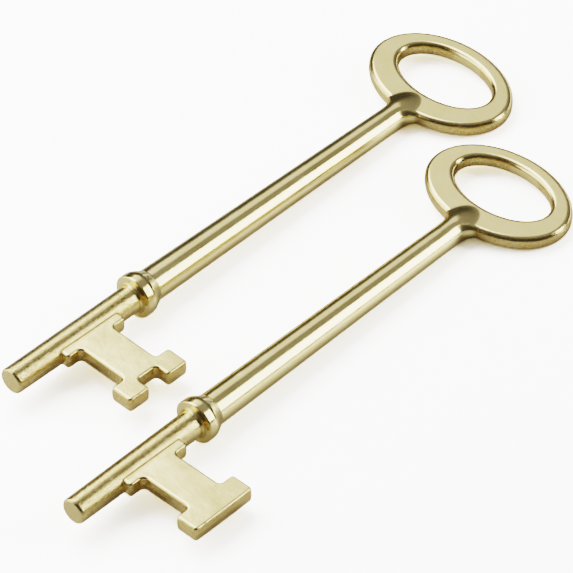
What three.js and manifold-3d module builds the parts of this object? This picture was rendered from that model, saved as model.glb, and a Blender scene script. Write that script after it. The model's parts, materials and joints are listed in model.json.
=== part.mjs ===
// Pair of cast bit keys for mortise locks, lying side by side on a table.
// Millimetres, +Z up, the table at z = 0. Each key is one casting and one mesh. A key is drawn in
// its own frame: X runs along the stem from the pin's tip to the bow, the bit points to -Y, and
// z = 0 is the parting plane of the mould.
import * as THREE from 'three';
import { mergeVertices } from 'three/addons/utils/BufferGeometryUtils.js';
import Module from 'manifold-3d';

const wasm = await Module();
wasm.setup();

// Driving dimension. Everything else is in proportion to it.
const KEY_LENGTH = 80;

// Stem: a slim pin that enters the lock, a collar that stops it, and a stouter shank. Its axis lies
// a little below the parting plane.
const STEM_DROP = 0.1;
const PIN_TIP_RADIUS = 1.7;
const PIN_ROOT_RADIUS = 1.8;
const PIN_EDGE_ROUND = 0.3;
const COLLAR_START = 20.05;
const COLLAR_RADIUS = 2.85;
const COLLAR_RIM = 1.3;
const COLLAR_TAPER = 1.45;
const COLLAR_EDGE_ROUND = 0.25;
const SHANK_ROOT_RADIUS = 2.12;
const SHANK_END_RADIUS = 1.67;
const STEM_SEGMENTS = 40;

// Bow: a flat oval ring whose long axis lies across the stem, widest where it meets the stem.
const BOW_THICKNESS = 2;
const BOW_HALF_LENGTH = 7.1;
const BOW_HALF_WIDTH = 10.15;
const BOW_FAR_BAND = 2.27;
const BOW_LAND = 0.1;
const BOW_EDGE_ROUND = 0.45;
const BOW_FILLET_REACH = 1.15;
const EYE_HALF_LENGTH = 4.05;
const EYE_HALF_WIDTH = 6.85;
const RING_SEGMENTS = 64;

// Bit: a plate with a root, a narrower web between two ward cuts, and a wide outer end.
const BIT_START = 6.8;
const BIT_WIDTH = 9.55;
const BIT_THICKNESS = 2.05;
const BIT_REACH = 13.15;
const BIT_LAND = 0.8;
const BIT_EDGE_ROUND = 0.25;
const BIT_CORNER_RADIUS = 0.6;
const WARD_DEPTH = 2.1;
const WARD_NEAR = 2.75;
const WARD_FAR = 9.8;
const NOTCH_WIDTH = 2.9;
const NOTCH_DEPTH = 2.05;

// How the plain key lies beside the notched one.
const PLAIN_KEY_SHIFT = new THREE.Vector2(-10.4, -21.2);
const PLAIN_KEY_TURN = THREE.MathUtils.degToRad(1.3);

const ROUND_STEPS = 3;
const BOW_CENTRE = KEY_LENGTH - BOW_HALF_LENGTH;
const BOW_NEAR_EDGE = BOW_CENTRE - BOW_HALF_LENGTH;
const EYE_CENTRE = KEY_LENGTH - BOW_FAR_BAND - EYE_HALF_LENGTH;
const COLLAR_RIM_END = COLLAR_START + COLLAR_RIM;
const BIT_END = BIT_START + BIT_WIDTH;

function toSolid(geometry) {
  geometry.deleteAttribute('normal');
  geometry.deleteAttribute('uv');
  const merged = mergeVertices(geometry, 1e-5);
  return new wasm.Manifold(new wasm.Mesh({
    numProp: 3,
    vertProperties: new Float32Array(merged.attributes.position.array),
    triVerts: new Uint32Array(merged.index.array),
  }));
}

function toGeometry(solid) {
  const mesh = solid.getMesh();
  const geometry = new THREE.BufferGeometry();
  geometry.setAttribute('position', new THREE.BufferAttribute(mesh.vertProperties, 3));
  geometry.setIndex(new THREE.BufferAttribute(mesh.triVerts, 1));
  geometry.computeVertexNormals();
  return geometry;
}

// A quarter circle round the edge of a turned shape, from its end face at `start` to its side.
// Lathe points are (radius, distance along the stem).
function turnedEdge(radius, start, round) {
  const points = [];
  for (let step = 0; step <= ROUND_STEPS; step += 1) {
    const angle = (step / ROUND_STEPS) * (Math.PI / 2);
    points.push(new THREE.Vector2(
      radius - round + round * Math.sin(angle),
      start + round - round * Math.cos(angle),
    ));
  }
  return points;
}

// The stem, turned about the X axis. Past the shank it slopes down into the near band of the bow.
function stemSolid() {
  const nearBand = EYE_CENTRE - EYE_HALF_LENGTH - BOW_NEAR_EDGE;
  const slopeEnd = BOW_NEAR_EDGE + nearBand * 0.75;
  const outline = [
    new THREE.Vector2(0, 0),
    ...turnedEdge(PIN_TIP_RADIUS, 0, PIN_EDGE_ROUND),
    new THREE.Vector2(PIN_ROOT_RADIUS, COLLAR_START),
    ...turnedEdge(COLLAR_RADIUS, COLLAR_START, COLLAR_EDGE_ROUND),
    new THREE.Vector2(COLLAR_RADIUS, COLLAR_RIM_END),
    new THREE.Vector2(SHANK_ROOT_RADIUS, COLLAR_RIM_END + COLLAR_TAPER),
    new THREE.Vector2(SHANK_END_RADIUS, BOW_NEAR_EDGE),
    new THREE.Vector2(BOW_THICKNESS / 4, slopeEnd),
    new THREE.Vector2(0, slopeEnd),
  ];
  const stem = new THREE.LatheGeometry(outline, STEM_SEGMENTS);
  stem.rotateZ(-Math.PI / 2);
  stem.translate(0, 0, -STEM_DROP);
  return toSolid(stem);
}

// A flat plate with rounded edges, centred on the parting plane. The outline is its widest section,
// and the walls stay upright over `land` at mid-height.
function plateSolid(outline, holes, thickness, land, round) {
  const shape = new THREE.Shape(outline);
  shape.holes = holes.map((points) => new THREE.Path(points));
  const plate = new THREE.ExtrudeGeometry(shape, {
    depth: land,
    bevelThickness: (thickness - land) / 2,
    bevelSize: round,
    bevelOffset: -round,
    bevelSegments: ROUND_STEPS,
  });
  plate.translate(0, 0, -land / 2);
  return toSolid(plate);
}

// The oval ring, with a fillet on each side where the shank runs into it.
function bowSolid() {
  const ovalX = (y) => BOW_CENTRE - BOW_HALF_LENGTH * Math.sqrt(1 - (y / BOW_HALF_WIDTH) ** 2);
  const filletEnd = SHANK_END_RADIUS + BOW_FILLET_REACH;
  const corner = ovalX(SHANK_END_RADIUS);
  const fillet = (side) => new THREE.QuadraticBezierCurve(
    new THREE.Vector2(corner - BOW_FILLET_REACH, side * SHANK_END_RADIUS),
    new THREE.Vector2(corner, side * SHANK_END_RADIUS),
    new THREE.Vector2(ovalX(filletEnd), side * filletEnd),
  ).getPoints(ROUND_STEPS);

  const sweep = Math.PI - Math.asin(filletEnd / BOW_HALF_WIDTH);
  const rim = new THREE.EllipseCurve(
    BOW_CENTRE, 0, BOW_HALF_LENGTH, BOW_HALF_WIDTH, -sweep, sweep,
  );
  const eye = new THREE.EllipseCurve(EYE_CENTRE, 0, EYE_HALF_LENGTH, EYE_HALF_WIDTH);
  const outline = [
    ...fillet(-1),
    ...rim.getPoints(RING_SEGMENTS).slice(1, -1),
    ...fillet(1).reverse(),
  ];
  const hole = eye.getPoints(RING_SEGMENTS).slice(0, -1);
  return plateSolid(outline, [hole], BOW_THICKNESS, BOW_LAND, BOW_EDGE_ROUND);
}

// An open run of corners with each one between the two ends rounded off.
function roundCorners(corners, radius) {
  const points = [corners[0]];
  for (let index = 1; index < corners.length - 1; index += 1) {
    const corner = corners[index];
    const arrive = corners[index - 1].clone().sub(corner).setLength(radius).add(corner);
    const leave = corners[index + 1].clone().sub(corner).setLength(radius).add(corner);
    points.push(...new THREE.QuadraticBezierCurve(arrive, corner, leave).getPoints(ROUND_STEPS));
  }
  points.push(corners[corners.length - 1]);
  return points;
}

// The corners of the notch in the middle of the bit's outer end.
function notchCorners() {
  const start = BIT_START + (BIT_WIDTH - NOTCH_WIDTH) / 2;
  const end = start + NOTCH_WIDTH;
  const floor = NOTCH_DEPTH - BIT_REACH;
  return [
    new THREE.Vector2(start, -BIT_REACH),
    new THREE.Vector2(start, floor),
    new THREE.Vector2(end, floor),
    new THREE.Vector2(end, -BIT_REACH),
  ];
}

function bitSolid(notched) {
  const corners = [
    new THREE.Vector2(BIT_START, 0),
    new THREE.Vector2(BIT_START, -WARD_NEAR),
    new THREE.Vector2(BIT_START + WARD_DEPTH, -WARD_NEAR),
    new THREE.Vector2(BIT_START + WARD_DEPTH, -WARD_FAR),
    new THREE.Vector2(BIT_START, -WARD_FAR),
    new THREE.Vector2(BIT_START, -BIT_REACH),
    ...(notched ? notchCorners() : []),
    new THREE.Vector2(BIT_END, -BIT_REACH),
    new THREE.Vector2(BIT_END, -WARD_FAR),
    new THREE.Vector2(BIT_END - WARD_DEPTH, -WARD_FAR),
    new THREE.Vector2(BIT_END - WARD_DEPTH, -WARD_NEAR),
    new THREE.Vector2(BIT_END, -WARD_NEAR),
    new THREE.Vector2(BIT_END, 0),
  ];
  const outline = roundCorners(corners, BIT_CORNER_RADIUS);
  return plateSolid(outline, [], BIT_THICKNESS, BIT_LAND, BIT_EDGE_ROUND);
}

// A key on a table rests on the collar's rim, on the end of the shank, and on the edge of the bow's
// flat underside that is on the bit's side. This is how far it tips down towards the bow, how far
// it rolls towards the bit, and how high its frame then stands above the table.
function restingPlace() {
  const tilt = Math.atan2(COLLAR_RADIUS - SHANK_END_RADIUS, BOW_NEAR_EDGE - COLLAR_RIM_END);
  const height = COLLAR_RIM_END * Math.sin(tilt) + (STEM_DROP + COLLAR_RADIUS) * Math.cos(tilt);
  const underside = height - BOW_CENTRE * Math.sin(tilt) - (BOW_THICKNESS / 2) * Math.cos(tilt);
  const lengthwise = (BOW_HALF_LENGTH - BOW_EDGE_ROUND) * Math.sin(tilt);
  const crosswise = (BOW_HALF_WIDTH - BOW_EDGE_ROUND) * Math.cos(tilt);
  const roll = Math.asin(Math.sqrt(underside ** 2 - lengthwise ** 2) / crosswise);
  return { tilt, roll, height };
}

function keyMesh(name, notched) {
  const solid = stemSolid().add(bowSolid()).add(bitSolid(notched));
  const brass = new THREE.MeshStandardMaterial({
    name: 'brass_plate',
    color: 0xc9b36b,
    roughness: 0.3,
    metalness: 0.9,
  });
  const mesh = new THREE.Mesh(toGeometry(solid), brass);
  const { tilt, roll, height } = restingPlace();
  mesh.name = name;
  mesh.rotation.set(roll, tilt, 0, 'YXZ');
  mesh.position.z = height;
  return mesh;
}

function buildPair() {
  const notchedKey = new THREE.Group();
  notchedKey.add(keyMesh('key_notched_bit', true));

  const plainKey = new THREE.Group();
  plainKey.add(keyMesh('key_plain_bit', false));
  plainKey.rotation.z = PLAIN_KEY_TURN;
  plainKey.position.set(PLAIN_KEY_SHIFT.x, PLAIN_KEY_SHIFT.y, 0);

  // The pair's own origin is the middle of its bounding box, on the table.
  const table = new THREE.Group();
  table.add(notchedKey, plainKey);
  const centre = new THREE.Box3().setFromObject(table, true).getCenter(new THREE.Vector3());
  table.position.set(-centre.x, -centre.y, 0);

  const pair = new THREE.Group();
  pair.name = 'bit_key_pair';
  pair.add(table);
  return pair;
}

export default buildPair();
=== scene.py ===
"""A pair of brass-plated bit keys on a pale table.

Each key is one casting. Its surface is drawn as a signed distance in the key's own frame, where X
runs along the stem from the pin's tip to the bow, the bit points to -Y, and z = 0 is the parting
plane of the mould. The distance is polygonised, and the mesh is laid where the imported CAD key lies.
"""
import json
import math

import bpy
import numpy as np
import openvdb
from mathutils import Matrix, Vector


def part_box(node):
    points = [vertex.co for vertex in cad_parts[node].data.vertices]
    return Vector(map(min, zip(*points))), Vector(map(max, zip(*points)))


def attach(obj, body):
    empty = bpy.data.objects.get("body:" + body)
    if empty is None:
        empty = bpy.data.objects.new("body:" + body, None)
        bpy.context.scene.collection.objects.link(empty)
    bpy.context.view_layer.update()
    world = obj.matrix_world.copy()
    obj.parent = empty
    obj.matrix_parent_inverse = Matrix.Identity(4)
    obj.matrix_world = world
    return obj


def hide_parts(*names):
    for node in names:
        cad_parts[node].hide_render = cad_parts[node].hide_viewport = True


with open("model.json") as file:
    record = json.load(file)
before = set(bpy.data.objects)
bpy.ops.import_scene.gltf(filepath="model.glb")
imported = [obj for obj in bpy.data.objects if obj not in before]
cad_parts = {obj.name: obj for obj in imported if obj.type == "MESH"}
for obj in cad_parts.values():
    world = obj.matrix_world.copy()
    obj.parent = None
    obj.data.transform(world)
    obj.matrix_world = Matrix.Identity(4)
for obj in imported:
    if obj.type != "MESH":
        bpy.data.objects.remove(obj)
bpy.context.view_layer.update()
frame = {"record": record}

NOTCHED, PLAIN = "key_notched_bit", "key_plain_bit"
mounts = {mount["name"]: mount for mount in frame["record"]["mounts"]}


# ---------------------------------------------------------------- dimensions, from the frame

def key_length():
    """Length of a key along its stem: from the pin's tip to the far corner of the notched key."""
    tip = mounts["pin_tip_notched"]
    along = -Vector(tip["axis"]).normalized()
    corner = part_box(NOTCHED)[1]
    return (corner.x - tip["pos_m"][0]) / along.x


LENGTH = key_length()
MM = LENGTH / 80.0

# Stem: a slim pin, a collar and a shank. Its axis lies a little below the parting plane.
STEM_DROP = 0.1 * MM
PIN_TIP_RADIUS = 1.7 * MM
PIN_ROOT_RADIUS = 1.8 * MM
PIN_EDGE_ROUND = 0.35 * MM
COLLAR_START = 20.05 * MM
COLLAR_RADIUS = 2.85 * MM
COLLAR_RIM_END = COLLAR_START + 1.3 * MM
COLLAR_END = COLLAR_RIM_END + 1.45 * MM
COLLAR_EDGE_ROUND = 0.16 * MM
COLLAR_FILLET = 0.4 * MM
SHANK_ROOT_RADIUS = 2.12 * MM
SHANK_END_RADIUS = 1.67 * MM

# Bow: an oval ring. The shank ends in a nose on it, and a neck inside the shank joins the two.
BOW_THICKNESS = 2.0 * MM
BOW_HALF_LENGTH = 7.1 * MM
BOW_HALF_WIDTH = 10.15 * MM
BOW_CENTRE = LENGTH - BOW_HALF_LENGTH
BOW_NEAR_EDGE = BOW_CENTRE - BOW_HALF_LENGTH
EYE_HALF_LENGTH = 4.05 * MM
EYE_HALF_WIDTH = 6.85 * MM
RING_FAR_WIDTH = 2.27 * MM
EYE_CENTRE = LENGTH - RING_FAR_WIDTH - EYE_HALF_LENGTH
NOSE_START = BOW_NEAR_EDGE - 0.8 * MM
NOSE_LENGTH = 3.3 * MM
BOW_EDGE_ROUND = 0.6 * MM
NECK_HALF_WIDTH = 1.2 * MM
NECK_TAPER = 0.3
NECK_FILLET = 1.5 * MM
NOSE_FILLET = 0.9 * MM
WALL_DRAFT = 0.1

# Bit: a root, a web between two ward cuts, and a wide outer end, which may have a notch.
BIT_START = 6.8 * MM
BIT_END = BIT_START + 9.55 * MM
BIT_MIDDLE = (BIT_START + BIT_END) / 2
BIT_THICKNESS = 2.05 * MM
BIT_REACH = 13.15 * MM
WARD_DEPTH = 2.1 * MM
WARD_NEAR = 2.75 * MM
WARD_FAR = 9.8 * MM
BIT_CORNER_ROUND = 0.5 * MM
BIT_EDGE_ROUND = 0.25 * MM
NOTCH_WIDTH = 2.9 * MM
NOTCH_DEPTH = 2.05 * MM
BIT_FILLET = 0.05 * MM

# Mesh: the grid it is cut from, then how each vertex is walked on to the true surface.
VOXEL = 0.15 * MM
WALK_STEPS = 3
WALK_SLOPE_STEP = VOXEL / 20
LEAST_SLOPE = 0.5
NORMAL_STEP = VOXEL / 6

BEND_STEP = 0.2 * MM        # how far apart the bend measure compares distances
GRAIN_AT_LEAST = 0.16       # depth of the grain on the shank and flat faces, as a part of the pin's
GRAIN_FADE = 2 * MM         # the pin's grain fades out over this much before the collar
WALL_FADE = 0.3 * MM        # the walls' grain and painted golden reflection start this gradually beside the stem
COLLAR_REACH = 2 * MM       # nothing this close to the collar's start counts as a wall
NOISE_SHIFT = 7.0           # how far apart the two keys start in the noise
TINY = 1e-9                 # keeps a division from being by zero


# ---------------------------------------------------------------- signed distances

def inside_both(a, b, radius):
    """Where both solids are, with the edge between them rounded off."""
    corner = np.hypot(np.maximum(a + radius, 0), np.maximum(b + radius, 0))
    return np.minimum(np.maximum(a, b), -radius) + corner


def inside_either(a, b, radius):
    """Where either solid is, with a fillet in the corner between them."""
    corner = np.hypot(np.maximum(radius - a, 0), np.maximum(radius - b, 0))
    return np.maximum(np.minimum(a, b), radius) - corner


def slope(x, r, x0, r0, x1, r1):
    """Distance outside the line from (x0, r0) to (x1, r1)."""
    run, rise = x1 - x0, r1 - r0
    return ((r - r0) * run - (x - x0) * rise) / math.hypot(run, rise)


def ellipse(x, y, half_x, half_y):
    """Close to the distance from an ellipse's edge, and exact on it."""
    reach = np.hypot(x / half_x, y / half_y) + TINY
    steepness = np.hypot(x / half_x ** 2, y / half_y ** 2) + TINY
    return reach * (reach - 1) / steepness


def rectangle(x, y, x0, x1, y0, y1, radius):
    """Distance from a rectangle with rounded corners."""
    over_x = np.abs(x - (x0 + x1) / 2) - (x1 - x0) / 2 + radius
    over_y = np.abs(y - (y0 + y1) / 2) - (y1 - y0) / 2 + radius
    outside = np.hypot(np.maximum(over_x, 0), np.maximum(over_y, 0))
    return outside + np.minimum(np.maximum(over_x, over_y), 0) - radius


def plate(outline, z, thickness, edge_round):
    """A plate whose walls draw in from the parting plane to both faces."""
    walls = outline + WALL_DRAFT * np.abs(z)
    return inside_both(walls, np.abs(z) - thickness / 2, edge_round)


def stem(x, y, z):
    r = np.hypot(y, z + STEM_DROP)
    pin = slope(x, r, 0, PIN_TIP_RADIUS, COLLAR_START, PIN_ROOT_RADIUS)
    pin = inside_both(pin, -x, PIN_EDGE_ROUND)
    pin = np.maximum(pin, x - COLLAR_RIM_END)

    collar = inside_both(r - COLLAR_RADIUS, COLLAR_START - x, COLLAR_EDGE_ROUND)
    back = slope(x, r, COLLAR_RIM_END, COLLAR_RADIUS, COLLAR_END, SHANK_ROOT_RADIUS)
    collar = inside_both(collar, back, COLLAR_EDGE_ROUND)

    shank = slope(x, r, COLLAR_END, SHANK_ROOT_RADIUS, NOSE_START, SHANK_END_RADIUS)
    shank = np.maximum(shank, COLLAR_RIM_END - x)
    nose = ellipse(np.maximum(x - NOSE_START, 0), r, NOSE_LENGTH, SHANK_END_RADIUS)
    shank = np.where(x > NOSE_START, nose, shank)

    return np.minimum(inside_either(pin, collar, COLLAR_FILLET), shank)


def bow(x, y, z):
    oval = ellipse(x - BOW_CENTRE, y, BOW_HALF_LENGTH, BOW_HALF_WIDTH)
    narrowing = NECK_TAPER * np.maximum(BOW_NEAR_EDGE - x, 0)
    neck = np.maximum(np.abs(y) - NECK_HALF_WIDTH + narrowing, x - BOW_CENTRE)
    eye = ellipse(x - EYE_CENTRE, y, EYE_HALF_LENGTH, EYE_HALF_WIDTH)
    outline = np.maximum(inside_either(oval, neck, NECK_FILLET), -eye)
    return plate(outline, z, BOW_THICKNESS, BOW_EDGE_ROUND)


def bit(x, y, z, notched):
    root = rectangle(x, y, BIT_START, BIT_END, -WARD_NEAR, WARD_NEAR, BIT_CORNER_ROUND)
    web = rectangle(x, y, BIT_START + WARD_DEPTH, BIT_END - WARD_DEPTH, -BIT_REACH, 0, 0)
    web = np.maximum(web, -y - BIT_REACH + BIT_CORNER_ROUND)
    end = rectangle(x, y, BIT_START, BIT_END, -BIT_REACH, -WARD_FAR, BIT_CORNER_ROUND)
    outline = inside_either(inside_either(root, web, BIT_CORNER_ROUND), end, BIT_CORNER_ROUND)
    if notched:
        notch = rectangle(x, y, BIT_MIDDLE - NOTCH_WIDTH / 2, BIT_MIDDLE + NOTCH_WIDTH / 2,
                          -2 * BIT_REACH, NOTCH_DEPTH - BIT_REACH, BIT_CORNER_ROUND)
        outline = inside_both(outline, -notch, BIT_CORNER_ROUND)
    solid = plate(outline, z, BIT_THICKNESS, BIT_EDGE_ROUND)
    return np.maximum(solid, y)


def key(points, notched):
    """Signed distance of the whole casting at an array of points."""
    x, y, z = points[..., 0], points[..., 1], points[..., 2]
    body = inside_either(stem(x, y, z), bow(x, y, z), NOSE_FILLET)
    return inside_either(body, bit(x, y, z, notched), BIT_FILLET)


# ---------------------------------------------------------------- meshes

def gradient(distance, points, step):
    columns = []
    for axis in range(3):
        shift = np.zeros(3)
        shift[axis] = step
        columns.append(distance(points + shift) - distance(points - shift))
    return np.stack(columns, -1) / (2 * step)


def surface_bend(distance, points, step):
    """How sharply the surface bends: near 1 on outside edges, near -1 in inside corners."""
    bend = -6 * distance(points)
    for axis in range(3):
        shift = np.zeros(3)
        shift[axis] = step
        bend = bend + distance(points + shift) + distance(points - shift)
    return np.clip(bend / step, -1, 1)


def polygonise(distance, low, high):
    """Vertices, normals and faces of the surface where the distance is zero. The grid alone would
    leave the surface off by a part of a voxel, so each vertex is then moved on to it."""
    counts = [int(math.ceil((b - a) / VOXEL)) + 1 for a, b in zip(low, high)]
    axes = [a + VOXEL * np.arange(count) for a, count in zip(low, counts)]
    samples = np.empty(counts, dtype=np.float32)
    for index, x in enumerate(axes[0]):
        y, z = np.meshgrid(axes[1], axes[2], indexing="ij")
        samples[index] = distance(np.stack([np.full_like(y, x), y, z], -1))
    grid = openvdb.FloatGrid(background=float(samples.max()))
    grid.copyFromArray(samples / VOXEL)
    points, triangles, quads = grid.convertToPolygons(isovalue=0.0, adaptivity=0.0)
    vertices = np.array(low) + points.astype(float) * VOXEL
    for _ in range(WALK_STEPS):
        slopes = gradient(distance, vertices, WALK_SLOPE_STEP)
        slope_squared = np.maximum((slopes ** 2).sum(-1), LEAST_SLOPE ** 2)
        vertices -= slopes * (distance(vertices) / slope_squared)[:, None]
    normals = gradient(distance, vertices, NORMAL_STEP)
    normals /= np.linalg.norm(normals, axis=-1, keepdims=True)
    return vertices, normals, triangles.tolist() + quads.tolist()


def on_walls(points, normals):
    """Near 1 on the walls of the bow and the bit. It is 0 on flat faces, near the stem's axis (so at
    the middle of the bow's far end too) and near the collar's start, and part of 1 on the collar's back."""
    x, y, z = points.T
    off_stem = np.hypot(y, z + STEM_DROP) - SHANK_ROOT_RADIUS
    off_collar = np.abs(x - COLLAR_START) - COLLAR_REACH
    off_both = np.clip(np.minimum(off_stem, off_collar) / WALL_FADE, 0, 1)
    return off_both * (1 - normals[:, 2] ** 2)


def grain_depth(points, walls):
    """The casting's grain shows most on the pin and on walls, less on the shank and flat faces."""
    on_pin = np.clip((COLLAR_START - points[:, 0]) / GRAIN_FADE, 0, 1)
    on_pin *= np.hypot(points[:, 1], points[:, 2] + STEM_DROP) < SHANK_ROOT_RADIUS
    return GRAIN_AT_LEAST + (1 - GRAIN_AT_LEAST) * np.maximum(on_pin, walls)


def keep_numbers(mesh, name, numbers):
    """Stores a number for each vertex, for the material to read by name."""
    layer = mesh.attributes.new(name, "FLOAT", "POINT")
    layer.data.foreach_set("value", numbers)


def key_object(name, notched, material, grain_start):
    margin = 2 * VOXEL
    low = (-margin, -BIT_REACH - margin, -COLLAR_RADIUS - STEM_DROP - margin)
    high = (LENGTH + margin, BOW_HALF_WIDTH + margin, COLLAR_RADIUS + margin)

    def distance(points):
        return key(points, notched)

    vertices, normals, faces = polygonise(distance, low, high)
    mesh = bpy.data.meshes.new(name)
    mesh.from_pydata(vertices.tolist(), [], faces)
    mesh.polygons.foreach_set("use_smooth", [True] * len(mesh.polygons))
    mesh.normals_split_custom_set_from_vertices(normals.tolist())
    place = mesh.attributes.new("place_mm", "FLOAT_VECTOR", "POINT")
    place.data.foreach_set("vector", (vertices / MM).ravel())
    walls = on_walls(vertices, normals)
    keep_numbers(mesh, "grain_start", np.full(len(vertices), grain_start))
    keep_numbers(mesh, "surface_bend", surface_bend(distance, vertices, BEND_STEP))
    keep_numbers(mesh, "wall", walls)
    keep_numbers(mesh, "grain_depth", grain_depth(vertices, walls))
    mesh.materials.append(material)
    obj = bpy.data.objects.new(name, mesh)
    bpy.context.scene.collection.objects.link(obj)
    return obj


def lay_down(obj, which):
    """Puts a key where its CAD twin lies, from the twin's mounts: the pin's tip and the bow's top."""
    tip, top = mounts[f"pin_tip_{which}"], mounts[f"bow_top_{which}"]
    along = -Vector(tip["axis"]).normalized()
    up = Vector(top["axis"]).normalized()
    across = up.cross(along).normalized()
    place = Matrix((along, across, up)).transposed().to_4x4()
    place.translation = Vector(tip["pos_m"]) + STEM_DROP * up
    obj.data.transform(place)


# ---------------------------------------------------------------- materials

def attribute(tree, name, output="Fac"):
    """What the mesh stores under a name."""
    node = tree.nodes.new("ShaderNodeAttribute")
    node.attribute_name = name
    return node.outputs[output]


def noise(tree, place, start, scale, detail):
    """Noise with about scale features to the millimetre, different on each key."""
    node = tree.nodes.new("ShaderNodeTexNoise")
    node.noise_dimensions = "4D"
    node.inputs["Scale"].default_value = scale
    node.inputs["Detail"].default_value = detail
    tree.links.new(place, node.inputs["Vector"])
    tree.links.new(start, node.inputs["W"])
    return node.outputs["Fac"]


def map_range(tree, value, from_low, from_high, to_low, to_high):
    node = tree.nodes.new("ShaderNodeMapRange")
    node.inputs["From Min"].default_value = from_low
    node.inputs["From Max"].default_value = from_high
    node.inputs["To Min"].default_value = to_low
    node.inputs["To Max"].default_value = to_high
    tree.links.new(value, node.inputs["Value"])
    return node.outputs["Result"]


def blend(tree, factor, first, second):
    """Mixes two colours, or a colour socket and a colour, by a factor."""
    # A Mix node has sockets for each kind of value: 6 and 7 take the colours, and 2 gives the result.
    node = tree.nodes.new("ShaderNodeMix")
    node.data_type = "RGBA"
    tree.links.new(factor, node.inputs["Factor"])
    for socket, colour in ((node.inputs[6], first), (node.inputs[7], second)):
        if isinstance(colour, tuple):
            socket.default_value = (*colour, 1)
        else:
            tree.links.new(colour, socket)
    return node.outputs[2]


def arithmetic(tree, operation, first, second):
    node = tree.nodes.new("ShaderNodeMath")
    node.operation = operation
    tree.links.new(first, node.inputs[0])
    tree.links.new(second, node.inputs[1])
    return node.outputs["Value"]


def add(tree, first, second):
    return arithmetic(tree, "ADD", first, second)


def multiply(tree, first, second):
    return arithmetic(tree, "MULTIPLY", first, second)


def bump(tree, height, strength, depth, normal=None):
    node = tree.nodes.new("ShaderNodeBump")
    node.inputs["Distance"].default_value = depth
    tree.links.new(strength, node.inputs["Strength"])
    tree.links.new(height, node.inputs["Height"])
    if normal is not None:
        tree.links.new(normal, node.inputs["Normal"])
    return node.outputs["Normal"]


# The plate's colours: pale and warm clouds, golden walls that are a painted reflection, tarnish in pits,
# and painted shade darkening inside corners.
PLATE_PALE = (0.93, 0.80, 0.44)
PLATE_WARM = (0.87, 0.73, 0.37)
GOLD_REFLECTION = (0.92, 0.70, 0.31)
TARNISH_AND_SHADE = (0.50, 0.34, 0.13)

# Each noise: features to the millimetre, then octaves of detail.
GRAIN = (8.0, 2.0)
RIPPLE = (0.9, 2.0)
CLOUD = (0.35, 4.0)
GRAIN_HEIGHT = 0.035 * MM
RIPPLE_HEIGHT = 0.025 * MM

# Where each effect sets in, and where it is full: values of a noise, of the surface's bend or of the walls.
PALE_CLOUDS = (0.35, 0.65)
GOLD_REFLECTING_WALLS = (0.2, 1.0)
PALE_EDGES = (0.2, 0.9)
SHADED_CORNERS = (-0.1, -0.6)
TARNISHED_PITS = (0.56, 0.40)
ROUGH_CLOUDS = (0.3, 0.7)
ROUGH_CORNERS = (-0.2, -0.9)

# Strengths: a pair is the least and the most, and a single number is the most.
ROUGHNESS = (0.13, 0.21)
RIPPLE_STRENGTH = (0.3, 0.7)
CORNER_ROUGHNESS = 0.4
WALL_REFLECTION = 0.4
EDGE_PALE = 0.6
CORNER_SHADE = 0.3
PIT_TARNISH = 0.9


def brass_material():
    """Bright brass plate over a die-casting: rippled, finely grained, and grainiest on the pin."""
    material = bpy.data.materials.new("brass_plate")
    material.use_nodes = True
    tree = material.node_tree
    shader = tree.nodes["Principled BSDF"]
    shader.inputs["Metallic"].default_value = 1.0
    place = attribute(tree, "place_mm", "Vector")
    start = attribute(tree, "grain_start")
    bending = attribute(tree, "surface_bend")
    wall = attribute(tree, "wall")
    depth = attribute(tree, "grain_depth")
    grain = noise(tree, place, start, *GRAIN)
    ripple = noise(tree, place, start, *RIPPLE)
    cloud = noise(tree, place, start, *CLOUD)

    colour = blend(tree, map_range(tree, cloud, *PALE_CLOUDS, 0, 1), PLATE_WARM, PLATE_PALE)
    # The walls are tinted golden: a painted reflection, not a colour of their own.
    colour = blend(tree, map_range(tree, wall, *GOLD_REFLECTING_WALLS, 0, WALL_REFLECTION), colour, GOLD_REFLECTION)
    colour = blend(tree, map_range(tree, bending, *PALE_EDGES, 0, EDGE_PALE), colour, PLATE_PALE)
    # Inside corners are darkened towards the tarnish colour: painted shade.
    painted_corner_shade = map_range(tree, bending, *SHADED_CORNERS, 0, CORNER_SHADE)
    colour = blend(tree, painted_corner_shade, colour, TARNISH_AND_SHADE)
    pits = multiply(tree, map_range(tree, grain, *TARNISHED_PITS, 0, PIT_TARNISH), depth)
    colour = blend(tree, pits, colour, TARNISH_AND_SHADE)
    tree.links.new(colour, shader.inputs["Base Color"])

    polished = map_range(tree, cloud, *ROUGH_CLOUDS, *ROUGHNESS)
    unpolished = map_range(tree, bending, *ROUGH_CORNERS, 0, CORNER_ROUGHNESS)
    tree.links.new(add(tree, polished, unpolished), shader.inputs["Roughness"])

    ripple_strength = map_range(tree, cloud, *ROUGH_CLOUDS, *RIPPLE_STRENGTH)
    rippled = bump(tree, ripple, ripple_strength, RIPPLE_HEIGHT)
    tree.links.new(bump(tree, grain, depth, GRAIN_HEIGHT, rippled), shader.inputs["Normal"])
    return material


# ---------------------------------------------------------------- table, light and camera

# The table fades into the backdrop between two distances from its middle.
TABLE_SIZE = 60 * LENGTH
TABLE_SHADE = 0.86
TABLE_MOTTLE = 0.02         # how far its shade strays either way, as a part of it
TABLE_GRAIN = 40.0          # mottles to the metre
TABLE_GAIN = 7.0            # how far the camera overexposes it
TABLE_ROUGHNESS = 0.22
TABLE_FADE_START = 1.5 * LENGTH
TABLE_FADE_END = 12 * LENGTH

# The room lightens towards one side, as the cosine of the angle from it rises between two values.
ROOM_DARK = 0.08
ROOM_LIGHT = 0.26
ROOM_LIGHT_SIDE = (120.0, 70.0)
ROOM_LIGHT_SPREAD = (0.55, 0.9)
BACKDROP = 4.0

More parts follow.
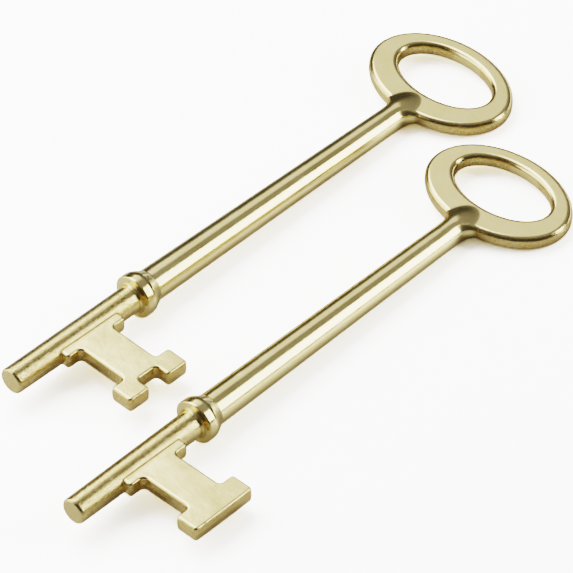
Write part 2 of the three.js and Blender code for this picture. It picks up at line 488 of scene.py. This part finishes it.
# Each softbox: azimuth and elevation of its middle (0 stands at -Y, 90 at +X) and its roll, in degrees;
# its distance in key lengths; its half width and half height as fractions of that; its brightness.
SOFTBOXES = {
    "strip_right": (43.0, 24.6, -24.0, 7.5, 0.155, 0.385, 3.0),
    "low_right": (92.0, -7.0, -3.5, 4.4, 0.57, 0.254, 1.37),
    "overhead_back": (172.0, 55.5, 0.0, 4.4, 0.75, 0.33, 0.43),
    "overhead_hot": (166.0, 54.5, 0.0, 4.4, 0.30, 0.32, 1.7),
    "wide_left": (-142.0, 20.0, 0.0, 4.2, 0.55, 0.50, 1.15),
}

# Watts for each square metre of a softbox of brightness 1, which then adds 4 / pi to the room's strength
# behind it.
SOFTBOX_POWER = 4.0


def table_material():
    """Pale and slightly glossy. The camera sees it overexposed, as a photograph on white does, and
    fading into the backdrop; the brass mirrors it as the softboxes light it."""
    material = bpy.data.materials.new("pale_table")
    material.use_nodes = True
    tree = material.node_tree
    shader = tree.nodes["Principled BSDF"]
    shader.inputs["Roughness"].default_value = TABLE_ROUGHNESS
    place = tree.nodes.new("ShaderNodeTexCoord").outputs["Object"]
    grain = tree.nodes.new("ShaderNodeTexNoise")
    grain.inputs["Scale"].default_value = TABLE_GRAIN
    tree.links.new(place, grain.inputs["Vector"])
    darkest, palest = TABLE_SHADE * (1 - TABLE_MOTTLE), TABLE_SHADE * (1 + TABLE_MOTTLE)
    shade = map_range(tree, grain.outputs["Fac"], 0, 1, darkest, palest)
    seen = tree.nodes.new("ShaderNodeLightPath").outputs["Is Camera Ray"]
    exposed = multiply(tree, shade, map_range(tree, seen, 0, 1, 1, TABLE_GAIN))
    tree.links.new(exposed, shader.inputs["Base Color"])

    away = tree.nodes.new("ShaderNodeVectorMath")
    away.operation = "LENGTH"
    tree.links.new(place, away.inputs[0])
    fade = map_range(tree, away.outputs["Value"], TABLE_FADE_START, TABLE_FADE_END, 0, BACKDROP)
    shader.inputs["Emission Color"].default_value = (1, 1, 1, 1)
    tree.links.new(multiply(tree, fade, seen), shader.inputs["Emission Strength"])
    return material


def add_table():
    bpy.ops.mesh.primitive_plane_add(size=TABLE_SIZE)
    table = bpy.context.object
    table.name = "table"
    table.data.materials.append(table_material())


def towards(azimuth, elevation):
    """The direction at an azimuth and an elevation: azimuth 0 is -Y, and 90 is +X."""
    a, e = math.radians(azimuth), math.radians(elevation)
    return Vector((math.sin(a) * math.cos(e), -math.cos(a) * math.cos(e), math.sin(e)))


def facing_back(azimuth, elevation, roll):
    """Rotation of a lamp or camera that stands in a direction and looks back at the keys."""
    level = towards(azimuth, elevation).to_track_quat("Z", "Y").to_matrix()
    return (level @ Matrix.Rotation(math.radians(roll), 3, "Z")).to_euler()


def add_softbox(name, azimuth, elevation, roll, distance, half_width, half_height, brightness):
    light = bpy.data.lights.new(name, "AREA")
    light.shape = "RECTANGLE"
    light.size = 2 * half_width * distance * LENGTH
    light.size_y = 2 * half_height * distance * LENGTH
    light.energy = SOFTBOX_POWER * brightness * light.size * light.size_y
    lamp = bpy.data.objects.new(name, light)
    lamp.location = towards(azimuth, elevation) * distance * LENGTH
    lamp.rotation_euler = facing_back(azimuth, elevation, roll)
    lamp.visible_camera = False
    bpy.context.scene.collection.objects.link(lamp)


def add_room():
    """A dim room, lighter high up on one side. The camera sees a white backdrop instead."""
    world = bpy.data.worlds.new("room")
    world.use_nodes = True
    tree = world.node_tree
    background = tree.nodes["Background"]
    background.inputs["Color"].default_value = (1, 1, 1, 1)
    facing = tree.nodes.new("ShaderNodeVectorMath")
    facing.operation = "DOT_PRODUCT"
    facing.inputs[1].default_value = towards(*ROOM_LIGHT_SIDE)
    tree.links.new(tree.nodes.new("ShaderNodeTexCoord").outputs["Generated"], facing.inputs[0])
    walls = map_range(tree, facing.outputs["Value"], *ROOM_LIGHT_SPREAD, ROOM_DARK, ROOM_LIGHT)
    seen = tree.nodes.new("ShaderNodeLightPath").outputs["Is Camera Ray"]
    chosen = tree.nodes.new("ShaderNodeMix")
    chosen.inputs["B"].default_value = BACKDROP
    tree.links.new(seen, chosen.inputs["Factor"])
    tree.links.new(walls, chosen.inputs["A"])
    tree.links.new(chosen.outputs["Result"], background.inputs["Strength"])
    bpy.context.scene.world = world


# The camera: degrees, then its distance, its lens in millimetres on 36 mm film, and the point on the
# table it looks at.
VIEW_AZIMUTH = -42.22
VIEW_ELEVATION = 42.41
VIEW_ROLL = -4.705
VIEW_DISTANCE = 829.76 * MM
VIEW_LENS = 437.72
VIEW_AIM = (0.758 * MM, 1.859 * MM)


def add_camera():
    data = bpy.data.cameras.new("photo_view")
    data.lens = VIEW_LENS
    data.sensor_width = 36.0
    data.clip_start, data.clip_end = 0.1, 100.0
    camera = bpy.data.objects.new("photo_view", data)
    camera.rotation_euler = facing_back(VIEW_AZIMUTH, VIEW_ELEVATION, VIEW_ROLL)
    camera.location = Vector((*VIEW_AIM, 0)) + towards(VIEW_AZIMUTH, VIEW_ELEVATION) * VIEW_DISTANCE
    bpy.context.scene.collection.objects.link(camera)
    bpy.context.scene.camera = camera


brass = brass_material()
for index, (node, which) in enumerate(((NOTCHED, "notched"), (PLAIN, "plain"))):
    casting = key_object(f"{which}_key_casting", which == "notched", brass, NOISE_SHIFT * index)
    lay_down(casting, which)
    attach(casting, f"{which}_key")
    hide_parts(node)

add_table()
add_room()
for name, softbox in SOFTBOXES.items():
    add_softbox(name, *softbox)
add_camera()
bpy.context.scene.view_settings.view_transform = "Filmic"
bpy.context.scene.view_settings.look = "Very High Contrast"
